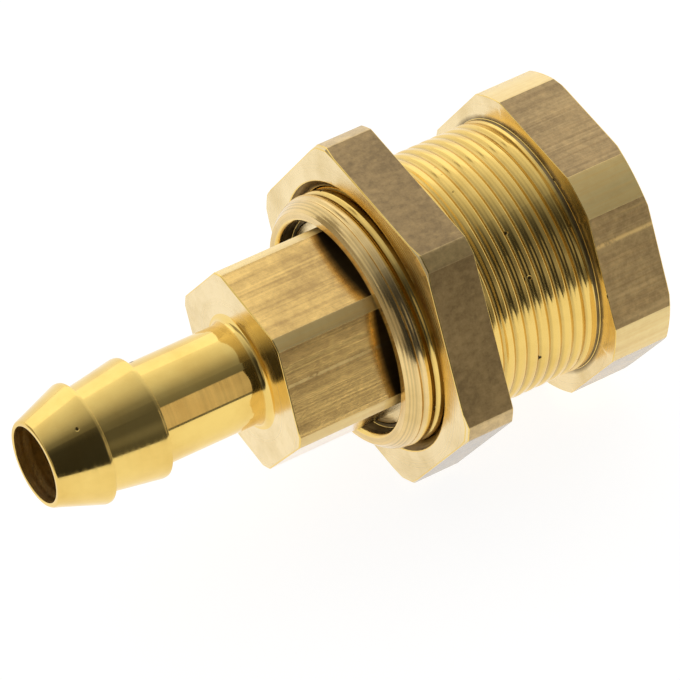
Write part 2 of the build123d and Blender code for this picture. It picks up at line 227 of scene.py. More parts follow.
def softened(corners, count):
    """Round the corners of a closed section into rows of (x, radius, surface up to the next row).

    A corner is (x, radius, rounding, surface that follows it), with x and radius the same all round or one
    per angle.
    """
    points = []
    for x, radius, _, _ in corners:
        points.append(np.array([np.broadcast_to(x, count), np.broadcast_to(radius, count)], float))
    rows = []
    for k, (_, _, rounding, surface) in enumerate(corners):
        point = points[k]
        if rounding == 0:
            rows.append((point[0], point[1], surface))
            continue
        steps = WIDE_STEPS if rounding > WIDE_ROUND else NARROW_STEPS
        arms = []
        for other in (points[k - 1], points[(k + 1) % len(points)]):
            arm = other - point
            length = np.linalg.norm(arm, axis=0)
            arms.append(arm * np.minimum(rounding / length, SIDE_SHARE))
        for step in range(steps):
            t = step / (steps - 1)
            place = point + arms[0] * (1 - t) ** 2 + arms[1] * t ** 2
            rows.append((place[0], place[1], surface if step == steps - 1 else TURNED))
    return rows


def thread_grid(start, end, angles, envelope):
    """Grid of (x, radius) for a right-hand thread between two places.

    It has one more angle than given, to close it. envelope gives the largest radius at each place.
    """
    around = np.append(angles, angles[0] + 2 * pi)
    lead = THREAD_PITCH * (around - angles[0]) / (2 * pi)
    first = -THREAD_LEAD_IN * THREAD_SAMPLES
    last = int((end - start) / THREAD_PITCH * THREAD_SAMPLES) + 1
    grid = []
    for station in np.arange(first, last + 1):
        phase = station / THREAD_SAMPLES
        x = np.clip(start + THREAD_START + THREAD_PITCH * phase + lead, start, end)
        from_crest = abs(phase % 1.0 - 0.5) * 2
        flank = np.clip((from_crest - THREAD_CREST) / (1 - THREAD_CREST), 0.0, 1.0)
        depth = (BARREL_R - THREAD_ROOT_R) * (1 - cos(flank * pi)) / 2
        fade = np.clip((end - x) / THREAD_FADE, 0.0, 1.0)
        grid.append((x, np.minimum(envelope(x), BARREL_R - depth * fade)))
    return around, grid


def grid_bands(bm, angles, rows, closed):
    """Add the points of (x, radius, surface) rows to a mesh, and give the bands between them.

    A band is (surface, its row of points, the next row). closed joins the last row to the first.
    """
    made = []
    for x, radius, _ in rows:
        y = radius * np.cos(angles)
        z = radius * np.sin(angles)
        made.append([bm.verts.new((a * MM, b * MM, c * MM)) for a, b, c in zip(x, y, z)])
    for k in range(len(rows) if closed else len(rows) - 1):
        yield rows[k][2], made[k], made[(k + 1) % len(rows)]


def add_object(name, data):
    """Put a mesh, a lamp or a camera into the scene."""
    made = bpy.data.objects.new(name, data)
    bpy.context.collection.objects.link(made)
    return made


def smooth_object(name, bm, materials, sharp_degrees):
    """Make a smooth object from a built mesh, with edges above an angle kept sharp."""
    bmesh.ops.recalc_face_normals(bm, faces=bm.faces)
    for face in bm.faces:
        face.smooth = True
    mesh = bpy.data.meshes.new(name)
    bm.to_mesh(mesh)
    bm.free()
    for material in materials:
        mesh.materials.append(material)
    mesh.set_sharp_from_angle(angle=radians(sharp_degrees))
    return add_object(name, mesh)


def turned_piece(name, corners, angles, on_flat, materials, thread=None):
    """Make a piece from a closed section round the X axis.

    thread is a thread's angles and grid, which take the place of the section's open band.
    """
    bm = bmesh.new()
    count = len(angles)
    slots = list(materials)
    for surface, near, far in grid_bands(bm, angles, softened(corners, count), True):
        if surface == OPEN:
            continue
        for i in range(count):
            j = (i + 1) % count
            face = bm.faces.new((near[i], near[j], far[j], far[i]))
            finish = surface
            if surface == HEX:
                finish = FLAT if on_flat[i] else LAND
            face.material_index = slots.index(finish)
    if thread:
        around, grid = thread
        rows = [(x, radius, THREAD) for x, radius in grid]
        for surface, near, far in grid_bands(bm, around, rows, False):
            for i in range(count):
                face = bm.faces.new((near[i], near[i + 1], far[i + 1], far[i]))
                on_chamfer = far[i].co.x < (REAR_X + CHAMFER_RUN) * MM
                face.material_index = slots.index(RIM if on_chamfer else surface)
    bmesh.ops.remove_doubles(bm, verts=bm.verts, dist=WELD * MM)
    bmesh.ops.dissolve_degenerate(bm, edges=bm.edges, dist=WELD * MM)
    piece = smooth_object(name, bm, materials.values(), SHARP_DEGREES)
    weighted = piece.modifiers.new("weighted_normals", "WEIGHTED_NORMAL")
    weighted.keep_sharp = True
    return piece


def stand_in(piece, node, body):
    """Show a piece in place of a CAD node, on the node's body."""
    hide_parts(node)
    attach(piece, body)


# Range that most of a noise lies in
NOISE_BAND = (0.3, 0.7)

# Share of a pit's size at which it is fully dark
PIT_CORE = 0.6


class Graph:
    """A material's nodes, joined by short calls."""

    def __init__(self, name):
        self.material = bpy.data.materials.new(name)
        self.material.use_nodes = True
        self.tree = self.material.node_tree
        self.shader = self.tree.nodes["Principled BSDF"]

    def add(self, kind, **settings):
        """Add a node and set its properties."""
        made = self.tree.nodes.new(kind)
        for key, value in settings.items():
            setattr(made, key, value)
        return made

    def join(self, source, target):
        """Link a socket, or set a plain value."""
        if isinstance(source, bpy.types.NodeSocket):
            self.tree.links.new(source, target)
        else:
            target.default_value = source

    def math(self, operation, a, b=0.0):
        """One arithmetic step."""
        made = self.add("ShaderNodeMath", operation=operation)
        self.join(a, made.inputs[0])
        self.join(b, made.inputs[1])
        return made.outputs[0]

    def plus(self, a, b):
        """The sum of two values."""
        return self.math("ADD", a, b)

    def minus(self, a, b):
        """The difference of two values."""
        return self.math("SUBTRACT", a, b)

    def times(self, a, b):
        """The product of two values."""
        return self.math("MULTIPLY", a, b)

    def place(self):
        """The point on the piece, in metres in the shared frame."""
        return self.add("ShaderNodeTexCoord").outputs["Object"]

    def scaled(self, vector, scale):
        """A vector stretched by a factor along each axis."""
        made = self.add("ShaderNodeVectorMath", operation="MULTIPLY")
        self.join(vector, made.inputs[0])
        made.inputs[1].default_value = scale
        return made.outputs[0]

    def along(self):
        """The point's place along the axis, in metres."""
        split = self.add("ShaderNodeSeparateXYZ")
        self.join(self.place(), split.inputs[0])
        return split.outputs["X"]

    def radius(self):
        """The point's distance from the axis, in metres."""
        made = self.add("ShaderNodeVectorMath", operation="LENGTH")
        self.join(self.scaled(self.place(), (0.0, 1.0, 1.0)), made.inputs[0])
        return made.outputs["Value"]

    def around(self):
        """The point's angle about the axis from the top toward -Y, in radians."""
        split = self.add("ShaderNodeSeparateXYZ")
        self.join(self.place(), split.inputs[0])
        return self.math("ARCTAN2", self.times(split.outputs["Y"], -1.0), split.outputs["Z"])

    def lathe_place(self):
        """The point as (place along the axis, radius), so that a texture on it runs in rings."""
        joined = self.add("ShaderNodeCombineXYZ")
        self.join(self.along(), joined.inputs[0])
        self.join(self.radius(), joined.inputs[1])
        return joined.outputs[0]

    def noise(self, vector, scale, detail=2.0, roughness=0.5):
        """A noise value from 0 to 1."""
        made = self.add("ShaderNodeTexNoise")
        self.join(vector, made.inputs["Vector"])
        made.inputs["Scale"].default_value = scale
        made.inputs["Detail"].default_value = detail
        made.inputs["Roughness"].default_value = roughness
        return made.outputs["Fac"]

    def span(self, value, low, high, to_low=0.0, to_high=1.0):
        """A value mapped from one range to another, and held inside it."""
        made = self.add("ShaderNodeMapRange", clamp=True)
        for socket, number in zip(made.inputs[:5], (value, low, high, to_low, to_high)):
            self.join(number, socket)
        return made.outputs[0]

    def between(self, value, outer_low, inner_low, inner_high, outer_high):
        """1 between the inner two of four limits, fading to 0 at the outer two."""
        return self.times(self.span(value, outer_low, inner_low), self.span(value, outer_high, inner_high))

    def uneven(self, noise, value, spread):
        """A value that a noise varies between two shares of it."""
        return self.span(noise, *NOISE_BAND, value * spread[0], value * spread[1])

    def mix(self, amount, first, second):
        """A colour between two colours."""
        made = self.add("ShaderNodeMix", data_type="RGBA")
        self.join(amount, made.inputs["Factor"])
        self.join(first, made.inputs["A"])
        self.join(second, made.inputs["B"])
        return made.outputs["Result"]

    def bump(self, height, strength, distance, normal=None):
        """A normal bent by a height."""
        made = self.add("ShaderNodeBump")
        made.inputs["Strength"].default_value = strength
        made.inputs["Distance"].default_value = distance
        self.join(height, made.inputs["Height"])
        if normal:
            self.join(normal, made.inputs["Normal"])
        return made.outputs[0]

    def pits(self, scale, share, size):
        """Small scattered spots: 1 inside a spot and 0 outside."""
        cells = self.add("ShaderNodeTexVoronoi")
        self.join(self.place(), cells.inputs["Vector"])
        cells.inputs["Scale"].default_value = scale
        split = self.add("ShaderNodeSeparateColor")
        self.join(cells.outputs["Color"], split.inputs[0])
        chosen = self.math("LESS_THAN", split.outputs[0], share)
        return self.times(chosen, self.span(cells.outputs["Distance"], size, size * PIT_CORE))

    def set(self, **inputs):
        """Set or link the shader's sockets by name, with underscores for blanks."""
        for key, value in inputs.items():
            self.join(value, self.shader.inputs[key.replace("_", " ")])


# Brass, and the dirt and painted shade on it
BRASS = (0.88, 0.63, 0.19, 1.0)
BRASS_DEEP = (0.79, 0.53, 0.14, 1.0)
BRASS_PALE = (0.90, 0.72, 0.40, 1.0)
BRASS_OLIVE = (0.72, 0.54, 0.24, 1.0)
BRASS_SCORED = (1.0, 0.74, 0.30, 1.0)
# Dark colour of dirt and pits, also used for painted shade in grooves, corners and recesses
GRIME_AND_SHADE = (0.05, 0.034, 0.015, 1.0)

# Turned brass. A scale is a noise's, for each metre, a band is where in a noise a tone sets in and is full,
# and a depth is in millimetres. GROOVE_PATCHES is such a band with the shares of painted shade at its two
# ends
RING_SCALE = 4200.0
RING_DIRT_BAND = (0.5, 0.66)
BROAD_RING_SCALE = 1100.0
BROAD_RING_SHARE = 0.5
BROAD_RING_DEPTH = 0.02
TARNISH_SCALE = 260.0
TARNISH_BAND = (0.42, 0.75)
TURNED_SPREAD = (0.75, 1.35)
GROOVE_PATCHES = (0.3, 0.6, 0.7, 1.0)
GROOVE_ROUGHNESS = 0.25
PIT_SCALE = 560.0
PIT_SIZE = 0.11
PIT_ROUGHNESS = 0.4
PIT_STRENGTH = 0.8
PIT_DEPTH = 0.05

# Drawn brass, with scales, bands and depths as above. A stretch is along the bar
LINE_SCALE = 1800.0
LINE_STRETCH = 26.0
SCRATCH_BAND = (0.62, 0.72)
SCRATCH_GLOSS = 0.15
HAIR_SCALE = 5200.0
HAIR_STRETCH = 2.7
HAIR_STRENGTH = 0.35
HAIR_DEPTH = 0.012
MOTTLE_SCALE = 1500.0
MOTTLE_STRENGTH = 0.3
MOTTLE_DEPTH = 0.02
CLOUD_SCALE = 230.0
CLOUD_SHARE = 0.25
SHADE_BAND = (0.41, 0.59)
DRAWN_SPREAD = (0.85, 1.2)
OIL_WEIGHT = 0.8
OIL_ROUGHNESS = 0.15

# Long scratches on the second flats: their angles from the top and half widths, in degrees
BODY_SCORE = 49.0
TAIL_SCORE = 56.5
SCORE_CORE = 0.3
SCORE_EDGE = 1.2
SCORE_COVER = 0.85
SCORE_BAND = (0.35, 0.5)
SCORE_ROUGHNESS = 0.6

# Painted shade in the corner beside the body: its width for each millimetre of gap there, and where it sets
# in and is full about that line, in millimetres
CORNER_SHADE_WIDTH = 0.3
CORNER_FADE = (-0.45, 0.3)
CORNER_COVER = 0.95
CORNER_ROUGHNESS = 0.3

# Seal rubber and steel
RUBBER = (0.012, 0.012, 0.013, 1.0)
RUBBER_BLOOM = (0.035, 0.035, 0.037, 1.0)
BLOOM_SCALE = 900.0
BLOOM_ROUGHNESS = (0.45, 0.62)
BLOOM_STRENGTH = 0.15
BLOOM_DEPTH = 0.02
POLISH_SCALE = 3000.0
POLISH_STRENGTH = 0.1
POLISH_DEPTH = 0.004
STEEL_WEAR_SCALE = 500.0
STEEL_DULL = 0.8
STEEL_SPREAD = (0.8, 1.3)


def turned_brass(name, clean=BRASS, dull=BRASS_DEEP, roughness=0.12, ring_strength=0.12, pit_share=0.0,
                 groove=None, ring_depth=0.004, ring_dirt=0.0):
    """Bright brass off the lathe: fine tool rings, faint tarnish and a few pits.

    groove gives the radii in millimetres between which painted shade darkens a groove in patches, and how
    dark it gets.
    ring_depth is the tool rings' depth in millimetres, and ring_dirt how dark they get.
    """
    g = Graph(name)
    rings = g.noise(g.lathe_place(), RING_SCALE, detail=1.0, roughness=0.6)
    broad = g.noise(g.lathe_place(), BROAD_RING_SCALE)
    tarnish = g.noise(g.place(), TARNISH_SCALE, detail=4.0, roughness=0.6)
    pits = g.pits(PIT_SCALE, pit_share, PIT_SIZE)
    colour = g.mix(g.span(tarnish, *TARNISH_BAND), clean, dull)
    colour = g.mix(g.span(rings, *RING_DIRT_BAND, 0.0, ring_dirt), colour, GRIME_AND_SHADE)
    rough = g.uneven(rings, roughness, TURNED_SPREAD)
    if groove:
        top_r, floor_r, darkness = groove
        # Painted shade in the groove, darker toward its floor and broken into patches
        painted_shade = g.span(g.radius(), top_r * MM, floor_r * MM)
        painted_shade = g.times(painted_shade, g.span(tarnish, *GROOVE_PATCHES))
        painted_shade = g.times(painted_shade, darkness)
        colour = g.mix(painted_shade, colour, GRIME_AND_SHADE)
        rough = g.plus(rough, g.times(painted_shade, GROOVE_ROUGHNESS))
    colour = g.mix(pits, colour, GRIME_AND_SHADE)
    rough = g.plus(rough, g.times(pits, PIT_ROUGHNESS))
    normal = g.bump(rings, ring_strength, ring_depth * MM)
    normal = g.bump(broad, ring_strength * BROAD_RING_SHARE, BROAD_RING_DEPTH * MM, normal)
    normal = g.bump(g.minus(1.0, pits), PIT_STRENGTH, PIT_DEPTH * MM, normal)
    g.set(Base_Color=colour, Metallic=1.0, Roughness=rough, Normal=normal)
    return g.material


def drawn_brass(name, light, dark, roughness, line_share, scratch, stretch=LINE_STRETCH, corner=None,
                score=None):
    """Raw flats of drawn bar: dull, oily skin with draw lines and scratches along the bar.

    line_share is how much the draw lines count in the shade, and scratch how bright the lightest of them
    get. stretch is the lines' scale along the bar. corner gives the place along the axis in millimetres
    where painted shade fills the corner beside the body, as wide as the gap there. score is the angle from
    the top, in degrees, of one long bright scratch.
    """
    g = Graph(name)
    lines = g.noise(g.scaled(g.place(), (stretch, LINE_SCALE, LINE_SCALE)), 1.0, detail=5.0, roughness=0.65)
    fine = g.scaled(g.place(), (stretch * HAIR_STRETCH, HAIR_SCALE, HAIR_SCALE))
    hair = g.noise(fine, 1.0, detail=3.0, roughness=0.6)
    mottle = g.noise(g.place(), MOTTLE_SCALE, detail=6.0, roughness=0.75)
    cloud = g.noise(g.place(), CLOUD_SCALE, detail=3.0)
    patches = g.plus(g.times(mottle, 1 - CLOUD_SHARE - line_share), g.times(cloud, CLOUD_SHARE))
    shade = g.plus(g.times(lines, line_share), patches)
    colour = g.mix(g.span(shade, *SHADE_BAND), dark, light)
    bright = g.times(g.span(lines, *SCRATCH_BAND), scratch)
    colour = g.mix(bright, colour, BRASS)
    rough = g.minus(g.uneven(hair, roughness, DRAWN_SPREAD), g.times(bright, SCRATCH_GLOSS))
    if score:
        off_line = g.math("ABSOLUTE", g.minus(g.around(), radians(score)))
        worn = g.span(off_line, radians(SCORE_CORE), radians(SCORE_EDGE), SCORE_COVER, 0.0)
        worn = g.times(worn, g.span(mottle, *SCORE_BAND))
        colour = g.mix(worn, colour, BRASS_SCORED)
        rough = g.plus(rough, g.times(worn, SCORE_ROUGHNESS - roughness))
    if corner:
        # Painted shade in the corner beside the body, wider where the gap to the recess is wider
        gap = g.minus(RECESS_R * MM, g.radius())
        edge = g.minus(corner * MM, g.times(gap, CORNER_SHADE_WIDTH))
        past_edge = g.minus(g.along(), edge)
        painted_shade = g.span(past_edge, CORNER_FADE[0] * MM, CORNER_FADE[1] * MM, 0.0, CORNER_COVER)
        colour = g.mix(painted_shade, colour, GRIME_AND_SHADE)
        rough = g.plus(rough, g.times(painted_shade, CORNER_ROUGHNESS))
    normal = g.bump(hair, HAIR_STRENGTH, HAIR_DEPTH * MM)
    normal = g.bump(mottle, MOTTLE_STRENGTH, MOTTLE_DEPTH * MM, normal)
    g.set(Base_Color=colour, Metallic=1.0, Roughness=rough, Normal=normal)
    g.set(Coat_Weight=OIL_WEIGHT, Coat_Roughness=OIL_ROUGHNESS)
    return g.material


def rubber(name):
    """Black seal rubber with a faint bloom."""
    g = Graph(name)
    bloom = g.noise(g.place(), BLOOM_SCALE, detail=3.0)
    g.set(Base_Color=g.mix(bloom, RUBBER, RUBBER_BLOOM))
    g.set(Roughness=g.span(bloom, *NOISE_BAND, *BLOOM_ROUGHNESS))
    g.set(Normal=g.bump(bloom, BLOOM_STRENGTH, BLOOM_DEPTH * MM))
    return g.material


def steel(name, colour, roughness):
    """Plain steel with fine polishing marks."""
    g = Graph(name)
    marks = g.noise(g.place(), POLISH_SCALE, detail=3.0)
    worn = g.noise(g.place(), STEEL_WEAR_SCALE, detail=3.0)
    dull = tuple(STEEL_DULL * c for c in colour[:3]) + (1.0,)
    g.set(Base_Color=g.mix(worn, colour, dull), Metallic=1.0)
    g.set(Roughness=g.uneven(marks, roughness, STEEL_SPREAD))
    g.set(Normal=g.bump(marks, POLISH_STRENGTH, POLISH_DEPTH * MM))
    return g.material


bar_turned = turned_brass("brass_turned", pit_share=0.2)
bar_faced = turned_brass("brass_faced", BRASS_PALE, BRASS_OLIVE, roughness=0.22, ring_strength=0.3,
                         pit_share=0.08)
# Painted shade on the face beside the barrel, in the corner at the thread's end
seat_faced = turned_brass("brass_seat", BRASS_PALE, BRASS_OLIVE, roughness=0.22, ring_strength=0.3,
                          groove=(BARREL_R + 0.45, BARREL_R, 0.8))
bar_rim = turned_brass("brass_rim", (0.86, 0.63, 0.28, 1.0), (0.72, 0.51, 0.20, 1.0), roughness=0.18,
                       ring_strength=1.0, ring_depth=0.016, ring_dirt=0.2)
bar_neck = turned_brass("brass_neck", (0.89, 0.64, 0.19, 1.0), BRASS_DEEP, roughness=0.07,
                        ring_strength=0.08, pit_share=0.2)
# Painted shade: dark brass for the body's recess and the nut's bore
bar_inner_shade = turned_brass("brass_inner_painted_shade", (0.30, 0.22, 0.10, 1.0), GRIME_AND_SHADE, roughness=0.4)
bar_bore = turned_brass("brass_bore", BRASS_OLIVE, BRASS_DEEP, roughness=0.35)
# Painted shade in the thread's grooves, darker toward their roots
thread_turned = turned_brass("brass_thread", (0.87, 0.61, 0.18, 1.0), (0.78, 0.53, 0.14, 1.0),
                             roughness=0.14, ring_strength=0.25, pit_share=0.3,
                             groove=(BARREL_R - 0.1, THREAD_ROOT_R, 0.3))
fine_turned = turned_brass("brass_fine_turned", ring_strength=0.1)
bar_land = drawn_brass("brass_land", (1.0, 0.80, 0.36, 1.0), (0.95, 0.72, 0.30, 1.0), roughness=0.62,
                       line_share=0.35, scratch=0.3)
nut_land = drawn_brass("brass_nut_land", (0.72, 0.52, 0.22, 1.0), (0.50, 0.35, 0.14, 1.0), roughness=0.5,
                       line_share=0.2, scratch=0.1, stretch=900.0)
nut_drawn = drawn_brass("brass_nut_flats", (0.43, 0.285, 0.11, 1.0), (0.26, 0.168, 0.06, 1.0),
                        roughness=0.45, line_share=0.2, scratch=0.1, stretch=900.0)
body_drawn = drawn_brass("brass_body_flats", (0.73, 0.52, 0.23, 1.0), (0.46, 0.315, 0.13, 1.0),
                         roughness=0.66, line_share=0.3, scratch=0.4, score=BODY_SCORE)
# The tail's flats carry painted shade in the corner beside the body
tail_drawn = drawn_brass("brass_tail_flats", (1.0, 0.66, 0.205, 1.0), (0.54, 0.335, 0.10, 1.0),
                         roughness=0.19, line_share=0.45, scratch=0.6, corner=REAR_X, score=TAIL_SCORE)
seal_black = rubber("seal_black")
spring_wire = steel("spring_wire", (0.55, 0.55, 0.56, 1.0), roughness=0.28)
ball_bright = steel("ball_bright", (0.78, 0.78, 0.80, 1.0), roughness=0.09)

# Body: threaded barrel, hexagon with a wrench chamfer in front, and its stepped bore
angles, on_flat = hex_angles(BODY_FLATS, BODY_LAND)
hexagon = hex_radius(angles, BODY_FLATS, BODY_LAND)
front_break = np.maximum(EDGE_ROUND, hexagon - HEX_CHAMFER_R)
rear_r = BARREL_R - BARREL_CHAMFER
thread_bore_r = TAIL_THREAD_R + THREAD_FIT
body_corners = [
    (REAR_X, rear_r, 0, OPEN),
    (THREAD_END_X, BARREL_R, 0, SEAT),
    (SEAT_X, BARREL_R, EDGE_ROUND, SEAT),
    (SEAT_X, hexagon, EDGE_ROUND, HEX),
    (FRONT_X - front_break * tan(radians(HEX_CHAMFER_ANGLE)), hexagon, EDGE_ROUND, TURNED),
    (FRONT_X, hexagon - front_break, EDGE_ROUND, FACED),
    (FRONT_X, POCKET_R + POCKET_CHAMFER, EDGE_ROUND, TURNED),
    (FRONT_X - POCKET_CHAMFER, POCKET_R, EDGE_ROUND, TURNED),
    (GROOVE_FRONT_X, POCKET_R, 0, TURNED),
    (GROOVE_FRONT_X, GROOVE_R, 0, TURNED),
    (GROOVE_REAR_X, GROOVE_R, 0, TURNED),
    (GROOVE_REAR_X, POCKET_R, 0, TURNED),
    (WEB_FRONT_X, POCKET_R, 0, TURNED),
    (WEB_FRONT_X, WEB_BORE_R, 0, TURNED),
    (WEB_REAR_X, WEB_BORE_R, 0, TURNED),
    (WEB_REAR_X, FLANGE_BORE_R, 0, TURNED),
    (CORE_REAR_X + THREAD_RUNOUT, FLANGE_BORE_R, 0, TURNED),
    (CORE_REAR_X + THREAD_RUNOUT, thread_bore_r, 0, TURNED),
    (RECESS_X, thread_bore_r, 0, INNER),
    (RECESS_X, RECESS_R, EDGE_ROUND, INNER),
    (REAR_X + RECESS_CHAMFER, RECESS_R, EDGE_ROUND, TURNED),
    (REAR_X, RECESS_R + RECESS_CHAMFER, EDGE_ROUND, RIM),
]
body_finish = {
    TURNED: bar_turned,
    FACED: bar_faced,
    SEAT: seat_faced,
    RIM: bar_rim,
    LAND: bar_land,
    FLAT: body_drawn,
    THREAD: thread_turned,
    INNER: bar_inner_shade,
}


def rounded_end(x):
    """Largest radius of the barrel, whose rear chamfer runs smoothly into the thread's crests."""
    share = np.clip((x - REAR_X) / CHAMFER_RUN, 0.0, 1.0)
    return rear_r + BARREL_CHAMFER * share * (2 - share)


barrel_thread = thread_grid(REAR_X, THREAD_END_X, angles, rounded_end)
body = turned_piece("coupler_body", body_corners, angles, on_flat, body_finish, barrel_thread)
stand_in(body, "body", "coupler_body")

# Lock nut: corners chamfered at the rear, countersunk bore
angles, on_flat = hex_angles(NUT_FLATS, NUT_LAND)
hexagon = hex_radius(angles, NUT_FLATS, NUT_LAND)
nut_break = np.maximum(EDGE_ROUND, hexagon - (NUT_LAND / 2 - NUT_CHAMFER))
nut_bore_r = BARREL_R + THREAD_FIT
nut_corners = [
    (NUT_REAR_X, nut_bore_r + NUT_COUNTERSINK, EDGE_ROUND, FACED),
    (NUT_REAR_X, hexagon - nut_break, EDGE_ROUND, FACED),
    (NUT_REAR_X + nut_break, hexagon, EDGE_ROUND, HEX),
    (NUT_FRONT_X, hexagon, EDGE_ROUND, FACED),
    (NUT_FRONT_X, nut_bore_r + NUT_COUNTERSINK, EDGE_ROUND, TURNED),
    (NUT_FRONT_X - NUT_COUNTERSINK, nut_bore_r, EDGE_ROUND, INNER),
    (NUT_REAR_X + NUT_COUNTERSINK, nut_bore_r, EDGE_ROUND, INNER),
]
nut_finish = {TURNED: bar_turned, FACED: bar_faced, INNER: bar_inner_shade, LAND: nut_land, FLAT: nut_drawn}
nut = turned_piece("panel_nut", nut_corners, angles, on_flat, nut_finish)
stand_in(nut, "lock_nut", "lock_nut")

# Hose tail: barbs, neck, hexagon, and the end that screws into the body
angles, on_flat = hex_angles(TAIL_FLATS, TAIL_LAND, TAIL_CLOCK)
hexagon = hex_radius(angles, TAIL_FLATS, TAIL_LAND, TAIL_CLOCK)
tail_corners = [
    (TAIL_END_X, TAIL_BORE_R, EDGE_ROUND, TURNED),
    (TAIL_END_X, NOSE_R - NOSE_EDGE, EDGE_ROUND, TURNED),
    (TAIL_END_X + NOSE_EDGE, NOSE_R, EDGE_ROUND, TURNED),
    (FIRST_BARB_X - BARB_LAND, BARB_R, EDGE_ROUND, TURNED),
    (FIRST_BARB_X, BARB_R, EDGE_ROUND, TURNED),
    (FIRST_BARB_X, BARB_ROOT_R, EDGE_ROUND, TURNED),
    (NECK_END_X - BARB_LAND, BARB_R, EDGE_ROUND, TURNED),
    (NECK_END_X, BARB_R, EDGE_ROUND, TURNED),
    (NECK_END_X, NECK_R, EDGE_ROUND, NECK),
    (TAIL_HEX_X, NECK_R, NECK_FILLET, FACED),
    (TAIL_HEX_X, hexagon - EDGE_ROUND, EDGE_ROUND, FACED),
    (TAIL_HEX_X + EDGE_ROUND, hexagon, EDGE_ROUND, HEX),
    (RECESS_X, hexagon, 0, FACED),
    (RECESS_X, TAIL_THREAD_R, EDGE_ROUND, TURNED),
    (CORE_REAR_X, TAIL_THREAD_R, 0, TURNED),
    (CORE_REAR_X, SEAL_GROOVE_OUTER_R, 0, TURNED),
    (SEAL_GROOVE_X, SEAL_GROOVE_OUTER_R, 0, TURNED),
    (SEAL_GROOVE_X, SEAL_GROOVE_INNER_R, 0, TURNED),
    (CORE_REAR_X, SEAL_GROOVE_INNER_R, 0, TURNED),
    (CORE_REAR_X, CHAMBER_R, 0, TURNED),
    (CHAMBER_END_X, CHAMBER_R, 0, TURNED),
    (CHAMBER_END_X, TAIL_BORE_R, 0, INNER),
]
tail_finish = {
    TURNED: bar_turned,
    FACED: bar_faced,
    NECK: bar_neck,
    INNER: bar_bore,
    LAND: bar_land,
    FLAT: tail_drawn,
}
tail = turned_piece("barbed_tail", tail_corners, angles, on_flat, tail_finish)
stand_in(tail, "hose_tail", "coupler_body")

# Release sleeve: lip, mouth, release cone and skirt
angles = np.linspace(0, 2 * pi, ROUND_STEPS, endpoint=False)
sleeve_corners = [
    (SLEEVE_REAR_X, SLEEVE_R, EDGE_ROUND, TURNED),
    (SLEEVE_SHOULDER_X, SLEEVE_R, EDGE_ROUND, TURNED),
    (SLEEVE_SHOULDER_X, LIP_R, EDGE_ROUND, TURNED),
    (LIP_FRONT_X, LIP_R, LIP_ROUND, TURNED),
    (LIP_FRONT_X, MOUTH_R, MOUTH_CHAMFER, TURNED),
    (MOUTH_REAR_X, MOUTH_R, EDGE_ROUND, TURNED),
    (MOUTH_REAR_X, CONE_FRONT_R, EDGE_ROUND, TURNED),
    (CONE_FRONT_X, CONE_FRONT_R, EDGE_ROUND, TURNED),
    (CONE_REAR_X, SLEEVE_BORE_R, EDGE_ROUND, TURNED),
    (SLEEVE_REAR_X, SLEEVE_BORE_R, EDGE_ROUND, TURNED),
]
sleeve = turned_piece("sleeve", sleeve_corners, angles, [False] * ROUND_STEPS, {TURNED: fine_turned})
stand_in(sleeve, "release_sleeve", "release_sleeve")


def coil(name, seats, coil_r, wire, turns):
    """Wind a compression spring between two seats, with its end turns closed."""
    turn = np.arange(int(turns * TURN_STEPS) + 1) / TURN_STEPS
    height = seats[1] - seats[0] - wire
    closed_pitch = wire * CLOSED_PITCH
    open_pitch = (height - 2 * CLOSED_TURNS * closed_pitch) / (turns - 2 * CLOSED_TURNS)
    open_rise = CLOSED_TURNS * closed_pitch + open_pitch * (turn - CLOSED_TURNS)
    rise = np.where(turn < CLOSED_TURNS, closed_pitch * turn, open_rise)
    from_end = turns - turn
    rise = np.where(from_end < CLOSED_TURNS, height - closed_pitch * from_end, rise)
    bm = bmesh.new()
    rings = []
    for angle, risen in zip(2 * pi * turn, rise):
        ring = []
        for step in range(WIRE_STEPS):
            around = 2 * pi * step / WIRE_STEPS
            r = coil_r + wire / 2 * cos(around)
            x = seats[0] + wire / 2 + risen + wire / 2 * sin(around)
            ring.append(bm.verts.new((x * MM, r * cos(angle) * MM, r * sin(angle) * MM)))
        rings.append(ring)
    for near, far in zip(rings, rings[1:]):
        for step in range(WIRE_STEPS):
            after = (step + 1) % WIRE_STEPS
            bm.faces.new((near[step], near[after], far[after], far[step]))
    bm.faces.new(rings[0])
    bm.faces.new(rings[-1])
    return smooth_object(name, bm, [spring_wire], COIL_SHARP_DEGREES)


def squashed_spring(name, node, seats, coil_r, wire, turns):
    """Wind a spring between its seats and show it in place of a CAD node, with a mesh of its own."""
    piece = coil(name, seats, coil_r, wire, turns)
    stand_in(piece, node, "coupler_body")
    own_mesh(piece)


squashed_spring("sleeve_coil", "sleeve_spring", SLEEVE_SPRING_X, SLEEVE_COIL_R, SLEEVE_WIRE,
                SLEEVE_TURNS)
squashed_spring("valve_coil", "valve_spring", VALVE_SPRING_X, VALVE_COIL_R, VALVE_WIRE,
                VALVE_TURNS)

# CAD nodes that show as they are
node_materials = {
    "socket_core": fine_turned,
    "valve_poppet": fine_turned,
    "retaining_ring": spring_wire,
    "tail_seal": seal_black,
    "plug_seal": seal_black,
    "valve_seal": seal_black,
}
for number in range(1, BALLS + 1):
    node_materials[f"locking_ball_{number}"] = ball_bright
for name, material in node_materials.items():
    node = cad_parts[name]
    if not node.material_slots:
        node.data.materials.append(material)
    for holder in node.material_slots:
        holder.material = material

# Stage. Its lengths are in metres, apart from FLOOR_DROP, which is in millimetres
FLOOR_DROP = 0.02
FLOOR_SIZE = 6.0
FLOOR_GREY = 0.3
FLOOR_LIFT = 0.9
WORLD_LIGHT = 0.75

